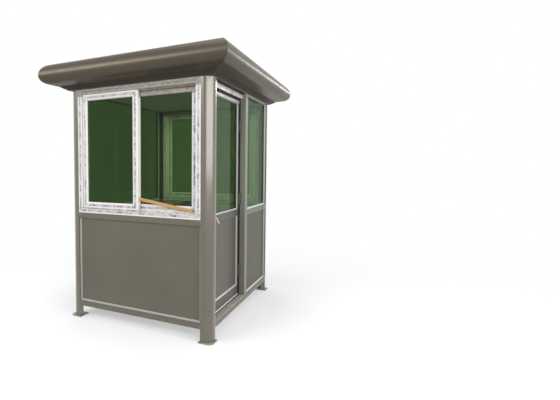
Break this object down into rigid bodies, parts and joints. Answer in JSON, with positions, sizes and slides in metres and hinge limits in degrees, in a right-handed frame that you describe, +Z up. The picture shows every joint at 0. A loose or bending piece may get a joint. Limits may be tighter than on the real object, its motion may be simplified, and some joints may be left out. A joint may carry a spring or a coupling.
{
  "type": "security guard booth",
  "caption": "One-person guard booth with round-cornered steel frame, bullnose roof, sliding windows, glazed hinged door, desk, drawer and keyboard tray.",
  "frame": {"origin": "on the ground under the middle of the booth", "axes": "+X out of the door side, -Y out of the front window, +Z up"},
  "size_m": [1.914, 2.214, 2.477],
  "materials": {
    "frame_paint": "satin bronze-grey",
    "panel_paint": "satin bronze-grey",
    "roof_paint": "satin dark bronze",
    "bead_aluminium": "bright",
    "window_plastic": "white",
    "tinted_glass": "green tinted",
    "lining_board": "matt beige",
    "stainless": "brushed",
    "dark_sheet": "satin",
    "floor_aluminium": "chequered",
    "lock_metal": "satin",
    "socket_plastic": "white",
    "galvanised": "dull",
    "bare_wood": "sawn"
  },
  "bodies": {
    "booth": {"back_panel": "panel_paint", "base_plates": "frame_paint", "bottom_beams": "frame_paint", "ceiling": "lining_board", "corner_posts": "frame_paint", "cornice": "roof_paint", "desk_brackets": "dark_sheet", "desk_top": "stainless", "door_head": "frame_paint", "door_jambs": "frame_paint", "drawer_case": "dark_sheet", "fascia_back": "roof_paint", "fascia_front": "roof_paint", "fascia_left": "roof_paint", "fascia_right": "roof_paint", "fixed_glass": "tinted_glass", "fixed_glass_beads": "bead_aluminium", "floor_joists": "galvanised", "floor_plate": "floor_aluminium", "front_panel": "panel_paint", "hinge_frame_halves": "stainless", "inner_sashes": "window_plastic", "inner_trims": "bead_aluminium", "keyboard_frame": "dark_sheet", "left_panel": "panel_paint", "mullion": "frame_paint", "outer_sashes": "window_plastic", "panel_beads": "bead_aluminium", "power_socket": "socket_plastic", "roof_deck": "roof_paint", "roof_frame": "galvanised", "side_panel": "panel_paint", "sill_rails": "frame_paint", "threshold": "floor_aluminium", "top_beams": "frame_paint", "transit_batten": "bare_wood", "wall_boxes": "socket_plastic", "wall_linings": "lining_board", "window_frames": "window_plastic", "window_glass": "tinted_glass"},
    "door": {"door_leaf_frame": "frame_paint", "door_glass": "tinted_glass", "door_panel": "panel_paint", "door_beads": "bead_aluminium", "hinge_leaf_halves": "stainless", "lock_plates": "lock_metal", "key_cylinder": "lock_metal"},
    "lever": {"door_lever": "lock_metal"},
    "drawer": {"drawer": "dark_sheet"},
    "keyboard_tray": {"keyboard_tray": "stainless"}
  },
  "joints": [
    {"name": "door_hinge", "type": "hinge", "parent": "booth", "child": "door", "pos_m": [0.6943, -0.0133, 0], "axis": [0, 0, 1], "range_deg": [0, 90]},
    {"name": "lever_turn", "type": "hinge", "parent": "door", "child": "lever", "pos_m": [0.666, -0.759, 1.062], "axis": [-1, 0, 0], "range_deg": [0, 45], "stiffness_Nm_per_rad": 2, "springref_deg": -34.38},
    {"name": "drawer_slide", "type": "slide", "parent": "booth", "child": "drawer", "axis": [1, 0, 0], "range_m": [0, 0.26]},
    {"name": "tray_slide", "type": "slide", "parent": "booth", "child": "keyboard_tray", "axis": [1, 0, 0], "range_m": [0, 0.25]}
  ]
}
